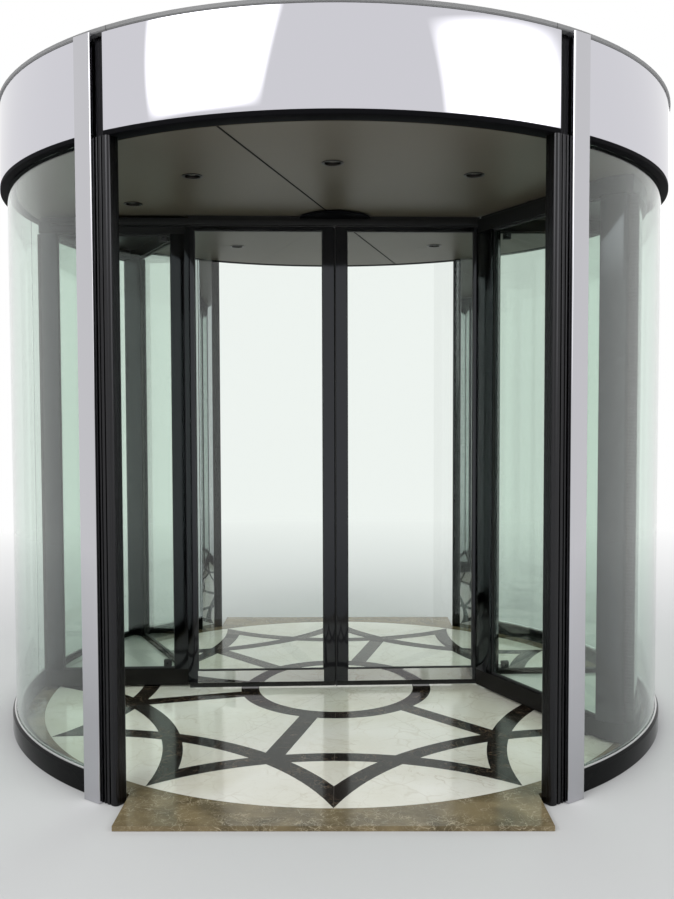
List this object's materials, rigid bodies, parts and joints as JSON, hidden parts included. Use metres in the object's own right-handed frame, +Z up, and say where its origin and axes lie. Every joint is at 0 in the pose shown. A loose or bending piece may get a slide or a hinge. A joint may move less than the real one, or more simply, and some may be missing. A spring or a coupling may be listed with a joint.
{
  "type": "two wing revolving door with showcases",
  "caption": "Automatic revolving door: glazed round drum, mirror canopy, S shaped rotor with showcases and sliding centre doors, inlaid round stone floor.",
  "frame": {"origin": "on the turning axis at the underside of the floor and base rings", "axes": "+Z up along the turning axis; -Y faces the street, +X to the right seen from the street"},
  "size_m": [3.4398, 3.4398, 3.033],
  "materials": {
    "cream_stone": "polished",
    "brown_stone": "polished",
    "black_polished_steel": "polished",
    "drum_glass": "clear",
    "mirror_steel": "mirror polished",
    "dark_satin_metal": "satin",
    "ceiling_paint": "satin",
    "grey_paint": "matt",
    "light_white": "matt",
    "bare_steel": "turned",
    "dark_frame_metal": "polished",
    "black_brush": "brush",
    "rotor_glass": "clear"
  },
  "bodies": {
    "enclosure": {"base_ring_left": "black_polished_steel", "base_ring_right": "black_polished_steel", "canopy_deck": "grey_paint", "canopy_lip": "dark_satin_metal", "ceiling_left": "ceiling_paint", "ceiling_right": "ceiling_paint", "downlights": "light_white", "drive_bearing": "bare_steel", "drum_glass_left_front": "drum_glass", "drum_glass_left_rear": "drum_glass", "drum_glass_right_front": "drum_glass", "drum_glass_right_rear": "drum_glass", "fascia_front": "mirror_steel", "fascia_left": "mirror_steel", "fascia_rear": "mirror_steel", "fascia_right": "mirror_steel", "floor_border": "brown_stone", "floor_disc": "cream_stone", "jamb_front_left": "dark_satin_metal", "jamb_front_right": "dark_satin_metal", "jamb_rear_left": "dark_satin_metal", "jamb_rear_right": "dark_satin_metal", "mirror_strip_front_left": "mirror_steel", "mirror_strip_front_right": "mirror_steel", "mirror_strip_rear_left": "mirror_steel", "mirror_strip_rear_right": "mirror_steel", "thresholds": "brown_stone"},
    "rotor": {"drive_shaft": "bare_steel", "header_beam": "dark_frame_metal", "hub_cover": "dark_frame_metal", "showcase_base_left": "dark_frame_metal", "showcase_base_right": "dark_frame_metal", "showcase_brush_left": "black_brush", "showcase_brush_right": "black_brush", "showcase_curved_glass_left": "rotor_glass", "showcase_curved_glass_right": "rotor_glass", "showcase_flat_glass_left": "rotor_glass", "showcase_flat_glass_right": "rotor_glass", "showcase_posts_left": "dark_frame_metal", "showcase_posts_right": "dark_frame_metal", "showcase_roof_left": "dark_frame_metal", "showcase_roof_right": "dark_frame_metal", "showcase_slanted_glass_left": "rotor_glass", "showcase_slanted_glass_right": "rotor_glass"},
    "leaf_left": {"leaf_frame_left": "dark_frame_metal", "leaf_glass_left": "rotor_glass", "leaf_brush_left": "black_brush"},
    "leaf_right": {"leaf_frame_right": "dark_frame_metal", "leaf_glass_right": "rotor_glass", "leaf_brush_right": "black_brush"}
  },
  "joints": [
    {"name": "rotor_turn", "type": "hinge", "parent": "enclosure", "child": "rotor", "pos_m": [0, 0, 0], "axis": [0, 0, 1], "continuous": true},
    {"name": "leaf_right_slide", "type": "slide", "parent": "rotor", "child": "leaf_right", "axis": [0.999, 0.0436, 0], "range_m": [0, 0.65]},
    {"name": "leaf_left_slide", "type": "slide", "parent": "rotor", "child": "leaf_left", "axis": [-0.999, -0.0436, 0], "range_m": [0, 0.65]}
  ],
  "couplings": [
    {"joint": "leaf_left_slide", "follows": "leaf_right_slide", "ratio": 1}
  ]
}
